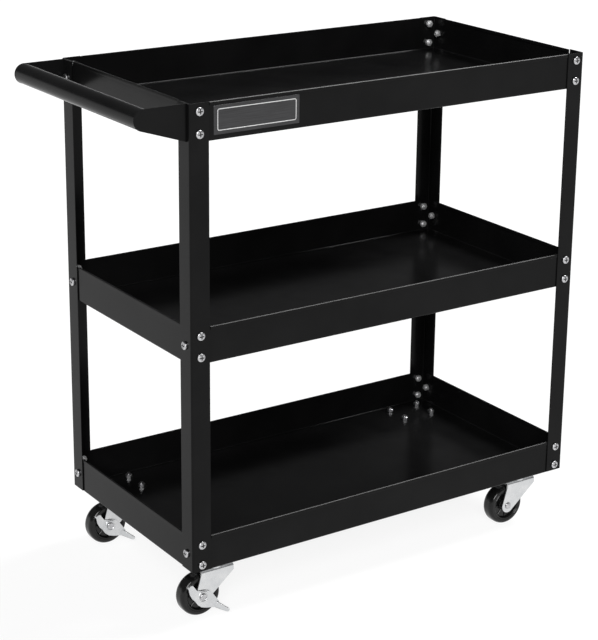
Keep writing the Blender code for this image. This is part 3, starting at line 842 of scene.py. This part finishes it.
def caster_plate_mesh(top):
    """The caster's top plate with its race cup and riveted kingpin, on the swivel axis."""
    bottom = top - PLATE_SHEET
    outline = []
    for sign_x, sign_y, angle in ((1, 1, 0), (-1, 1, 90), (-1, -1, 180), (1, -1, 270)):
        centre = (
            sign_x * (PLATE_HALF_LENGTH - PLATE_CORNER),
            sign_y * (PLATE_HALF_DEPTH - PLATE_CORNER),
        )
        outline += arc(centre, PLATE_CORNER, angle, angle + 90, 6)
    plate = rounded(prism(outline, "Z", bottom, top), EDGE_ROUND, 2, 60)
    race_bottom = CROWN_TOP + GAP
    rivet_top = CROWN_TOP - FORK_SHEET - GAP
    cup = [(0, bottom + 0.001), (RACE_RADIUS, bottom + 0.001)]
    cup += [(RACE_RADIUS, bottom - RACE_STEP)]
    cup += arc((RACE_RADIUS - RACE_ROUND, race_bottom + RACE_ROUND), RACE_ROUND, 0, -90, 6)
    cup += [(KINGPIN_RADIUS, race_bottom), (KINGPIN_RADIUS, rivet_top), (RIVET_RADIUS, rivet_top)]
    cup += arc((RIVET_RADIUS - RIVET_ROUND, rivet_top - 0.0003), RIVET_ROUND, 0, -90, 5)
    cup += [(0, rivet_top - RIVET_HEIGHT)]
    return smooth(joined([plate, turned(cup, 48)]))


def crown_boss(inset, drop):
    """The raised middle of the fork's crown about the swivel axis, less an inset and a drop."""
    top = CROWN_TOP - drop
    shoulder = CROWN_SHOULDER - drop
    base = CROWN_BASE_RADIUS - inset
    crest = CROWN_TOP_RADIUS - inset
    foot = shoulder - CROWN_FOOT_DEPTH
    profile = [(0, foot), (base, foot), (base, shoulder + CROWN_STEP)]
    profile += arc((crest - CROWN_ROUND, top - CROWN_ROUND), CROWN_ROUND, 20, 90, 5)
    profile += [(0, top)]
    return turned(profile, 48)


def fork_mesh():
    """The caster's fork, an inverted channel trimmed to slanting cheeks, on the swivel axis."""
    bend = FORK_BEND
    half = FORK_HALF_WIDTH
    inner = half - FORK_SHEET
    top = CROWN_SHOULDER
    low = WHEEL_RADIUS - FORK_EYE_RADIUS - 0.002
    section = [(half, low)]
    section += arc((half - bend, top - bend), bend, 0, 90, 8)
    section += arc((bend - half, top - bend), bend, 90, 180, 8)
    section += [(-half, low), (-inner, low)]
    section += arc((bend - half, top - bend), bend - FORK_SHEET, 180, 90, 5)
    section += arc((half - bend, top - bend), bend - FORK_SHEET, 90, 0, 5)
    section += [(inner, low)]
    channel = prism(section, "X", -FORK_HALF_LENGTH - 0.012, FORK_HALF_LENGTH + 0.002)
    channel = combine(channel, "UNION", [crown_boss(0, 0)])
    channel = combine(channel, "DIFFERENCE", [crown_boss(FORK_SHEET, FORK_SHEET)])

    eye = (-WHEEL_TRAIL, WHEEL_RADIUS)
    rear = CROWN_TOP - FORK_REAR_SHOULDER
    front = CROWN_TOP - FORK_FRONT_SHOULDER
    outline = [(FORK_HALF_LENGTH, front), (FORK_HALF_LENGTH, top + CUT_MARGIN)]
    outline += [(-FORK_HALF_LENGTH, top + CUT_MARGIN), (-FORK_HALF_LENGTH, rear)]
    outline += arc(eye, FORK_EYE_RADIUS, *FORK_EYE_ARC, 24)
    cheeks = prism(outline, "Y", -half - CUT_MARGIN, half + CUT_MARGIN)
    mesh = combine(channel, "INTERSECT", [cheeks])
    opening = KINGPIN_RADIUS + KINGPIN_CLEARANCE
    low = CROWN_TOP - 0.01
    hole = [(0, low), (opening, low), (opening, CROWN_TOP + 0.01), (0, CROWN_TOP + 0.01)]
    mesh = combine(mesh, "DIFFERENCE", [turned(hole, 32)])
    return smooth(rounded(mesh, FORK_EDGE_ROUND, 2, 50))


def wheel_mesh():
    """A moulded wheel with a crowned tread, a recessed ribbed web and a hub, its axle along Y."""
    side = [*WHEEL_HUB, *WHEEL_WEB, *WHEEL_RIM, *WHEEL_TYRE]
    for step in range(1, 10):
        angle = math.radians(10 * step)
        radius = TREAD_MIDDLE[0] + TREAD_ROUND[0] * math.sin(angle)
        side.append((radius, TREAD_MIDDLE[1] + TREAD_ROUND[1] * math.cos(angle)))
    other_side = [(radius, -height) for radius, height in reversed(side)]
    body = turned(side + other_side, 96, closed=True)
    ribs = []
    for sign in (-1, 1):
        for step in range(WHEEL_RIBS):
            rib = rounded(block(*WHEEL_RIB_BOX), WHEEL_RIB_ROUND, 1)
            turn = Matrix.Rotation(math.radians(360 * step / WHEEL_RIBS), 4, "Z")
            ribs.append(moved(rib, Matrix.Scale(sign, 4, (0, 0, 1)) @ turn))
    mesh = joined([body, *ribs])
    mesh.transform(Matrix.Rotation(math.radians(90), 4, "X"))
    return smooth(mesh_cleaned(mesh))


def axle_mesh(lever_stack):
    """The wheel's axle along Y: a low domed head at -Y and a nut at +Y."""
    head_face = FORK_HALF_WIDTH + GAP + lever_stack
    nut_face = -FORK_HALF_WIDTH - GAP
    tip = nut_face - AXLE_NUT_HEIGHT - AXLE_TIP
    top = head_face + AXLE_HEAD_HEIGHT
    profile = [(radius, top - depth) for radius, depth in AXLE_DISH]
    for step in range(1, 7):
        angle = math.radians(90 - 15 * step)
        radius = AXLE_DISH_RADIUS + (AXLE_HEAD_RADIUS - AXLE_DISH_RADIUS) * math.cos(angle)
        rise = (AXLE_HEAD_HEIGHT - 0.0004) * math.sin(angle)
        profile.append((radius, head_face + 0.0003 + rise))
    profile += [(AXLE_HEAD_RADIUS - 0.0002, head_face), (AXLE_RADIUS, head_face)]
    profile += thread_profile(nut_face - AXLE_NUT_HEIGHT + 0.0002, tip, AXLE_RADIUS)
    profile += [(AXLE_RADIUS - 0.0005, tip), (0, tip)]
    mesh = joined([turned(profile, 36), nut_mesh(nut_face, AXLE_NUT_HEIGHT)])
    mesh.transform(Matrix.Rotation(math.radians(90), 4, "X"))
    return smooth(mesh)


def lever_ring():
    """The ring pressed into the brake lever's outer face, about the axle."""
    face = FORK_HALF_WIDTH + GAP + LEVER_SHEET
    profile = [(RING_RADII[0], face - RING_SUNK)]
    middle = sum(RING_RADII) / 2
    half = (RING_RADII[1] - RING_RADII[0]) / 2
    for step in range(9):
        angle = math.radians(180 - 22.5 * step)
        radius = middle + half * math.cos(angle)
        profile.append((radius, face - 0.0001 + RING_HEIGHT * math.sin(angle)))
    profile.append((RING_RADII[1], face - RING_SUNK))
    ring = turned(profile, 48, closed=True)
    ring.transform(Matrix.Rotation(math.radians(90), 4, "X"))
    return ring


def carried_mesh(node, width):
    """A copy of a CAD node's mesh with its edges rounded, in place."""
    bm = bmesh.new()
    bm.from_mesh(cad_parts[node].data)
    bmesh.ops.remove_doubles(bm, verts=bm.verts, dist=1e-6)
    bmesh.ops.dissolve_limit(bm, angle_limit=math.radians(2), verts=bm.verts, edges=bm.edges)
    return rounded(mesh_from(bm), width, 2, 40)


def add_casters(zinc, steel, plastic):
    """The four casters, each on its own swivel, wheel and brake bodies."""
    fork = fork_mesh()
    wheel = wheel_mesh()
    axles = {"handle": axle_mesh(LEVER_SHEET + GAP), "far": axle_mesh(0)}
    plate = caster_plate_mesh(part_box("caster_front_far_plate")[1].z)
    for side in SIDES:
        for end in ENDS:
            name = f"caster_{side}_{end}"
            low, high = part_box(f"{name}_plate")
            axis = Vector(((low.x + high.x) / 2, (low.y + high.y) / 2, 0))
            swivel = Matrix.Translation(axis)
            hub = Matrix.Translation(axis + Vector((-WHEEL_TRAIL, 0, WHEEL_RADIUS)))
            swivel_body = f"{name}_swivel"
            place_piece(f"{name}_top", plate, zinc, "cart", swivel, [f"{name}_plate"])
            place_piece(f"{name}_yoke", fork, zinc, swivel_body, swivel, [f"{name}_fork"])
            node = f"{name}_wheel"
            place_piece(f"{name}_tyre", wheel, plastic, node, hub, [node])
            axle = axles[end]
            place_piece(f"{name}_pin", axle, steel, swivel_body, hub, [f"{name}_axle"])
            if end == "handle":
                node = f"{name}_brake_lever"
                ring = moved(lever_ring(), hub)
                lever = smooth(joined([carried_mesh(node, LEVER_EDGE_ROUND), ring]))
                place_piece(f"{name}_pedal", lever, zinc, node, None, [node])


def add_caster_bolts(metals):
    """The bolts through each caster plate, with their nuts on the bottom tray's floor."""
    plate_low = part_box("caster_front_far_plate")[1].z - PLATE_SHEET
    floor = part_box("tray_bottom")[0].z + TRAY_SHEET
    mesh = bolt_mesh(floor - plate_low, metals)
    for side in SIDES:
        for end in ENDS:
            low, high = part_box(f"caster_{side}_{end}_plate")
            middle = box_middle(low, high)
            number = 0
            for sign_x in (-1, 1):
                for sign_y in (-1, 1):
                    number += 1
                    x = middle.x + sign_x * CASTER_BOLTS[0]
                    y = middle.y + sign_y * CASTER_BOLTS[1]
                    seat = Vector((x, y, plate_low))
                    place = Matrix.Translation(seat) @ bolt_turn(Vector((0, 0, -1)))
                    name = f"caster_{side}_{end}_screw_{number}"
                    place_piece(name, mesh, metals[0], "cart", place)


# ---------------------------------------------------------------- studio


def add_floor():
    """A plain pale floor."""
    half = FLOOR_SIZE / 2
    mesh = bpy.data.meshes.new("studio_floor")
    corners = [(-half, -half, 0), (half, -half, 0), (half, half, 0), (-half, half, 0)]
    mesh.from_pydata(corners, [], [(0, 1, 2, 3)])
    mesh.materials.append(floor_paper())
    new_object("studio_floor", mesh)


def add_sun(name, toward, strength, angle):
    """A soft distant light shining from a direction."""
    sun = bpy.data.lights.new(name, "SUN")
    sun.energy = strength
    sun.angle = math.radians(angle)
    obj = new_object(name, sun)
    obj.rotation_mode = "QUATERNION"
    obj.rotation_quaternion = Vector(toward).to_track_quat("Z", "Y")


def add_world():
    """A bright band along the horizon under a dim sky."""
    world = bpy.data.worlds.new("studio")
    world.use_nodes = True
    tree = world.node_tree
    coordinates = tree.nodes.new("ShaderNodeTexCoord")
    separate = tree.nodes.new("ShaderNodeSeparateXYZ")
    link(tree, coordinates.outputs["Generated"], separate.inputs["Vector"])
    height = spread(tree, separate.outputs["Z"], 0.0, 1.0, HORIZON_TOP, HORIZON_FADE)
    ramp = tree.nodes.new("ShaderNodeValToRGB")
    ramp.color_ramp.elements[0].color = HORIZON_COLOUR
    ramp.color_ramp.elements[1].color = SKY_COLOUR
    link(tree, height, ramp.inputs["Fac"])
    link(tree, ramp.outputs["Color"], tree.nodes["Background"].inputs["Color"])
    bpy.context.scene.world = world


def add_lights():
    """A sun that draws a line along the long rims, a softer frontal one, and the sky."""
    add_sun("rim_sun", *RIM_SUN)
    add_sun("front_sun", *FRONT_SUN)
    add_world()


def add_camera():
    """The camera, as far as a plain shift allows, where the reference view was taken from."""
    azimuth = math.radians(CAMERA_AZIMUTH)
    elevation = math.radians(CAMERA_ELEVATION)
    roll = math.radians(CAMERA_ROLL)
    back = Vector(
        (
            math.sin(azimuth) * math.cos(elevation),
            -math.cos(azimuth) * math.cos(elevation),
            math.sin(elevation),
        )
    )
    right = (-back).cross(Vector((0, 0, 1))).normalized()
    up = back.cross(right)
    right, up = (
        math.cos(roll) * right + math.sin(roll) * up,
        -math.sin(roll) * right + math.cos(roll) * up,
    )
    data = bpy.data.cameras.new("camera")
    data.lens = CAMERA_LENS
    data.sensor_width = 36.0
    data.sensor_fit = "AUTO"
    data.shift_y = CAMERA_SHIFT
    camera = new_object("camera", data)
    rotation = Matrix((right, up, back)).transposed().to_4x4()
    camera.matrix_world = Matrix.Translation(CAMERA_PLACE) @ rotation
    bpy.context.scene.camera = camera


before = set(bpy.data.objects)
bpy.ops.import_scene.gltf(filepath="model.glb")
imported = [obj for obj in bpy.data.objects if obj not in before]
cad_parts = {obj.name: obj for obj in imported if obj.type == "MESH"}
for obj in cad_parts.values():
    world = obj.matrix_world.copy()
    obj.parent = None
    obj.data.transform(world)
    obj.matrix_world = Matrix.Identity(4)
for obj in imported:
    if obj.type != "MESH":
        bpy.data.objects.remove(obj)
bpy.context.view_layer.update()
bpy.context.scene.view_settings.view_transform = "Standard"

COAT = powder_coat()
STEEL = bolt_steel()
# A dark copy of the steel, painted into the driver recesses as shade.
RECESS_PAINTED_SHADE = recess_painted_shade()
ZINC = zinc_plate()

add_camera()
add_floor()
add_lights()
add_trays(COAT)
add_legs(COAT)
add_handle(COAT)
# The corner nuts get the paler copy, painted light where they sit in the trays' shade.
add_bolts((STEEL, RECESS_PAINTED_SHADE, nut_painted_light()))
add_badge(badge_satin(), badge_paint())
add_casters(ZINC, STEEL, wheel_plastic())
# The caster bolts' recesses carry the same painted shade, and their nuts keep the plain steel.
add_caster_bolts((STEEL, RECESS_PAINTED_SHADE, STEEL))
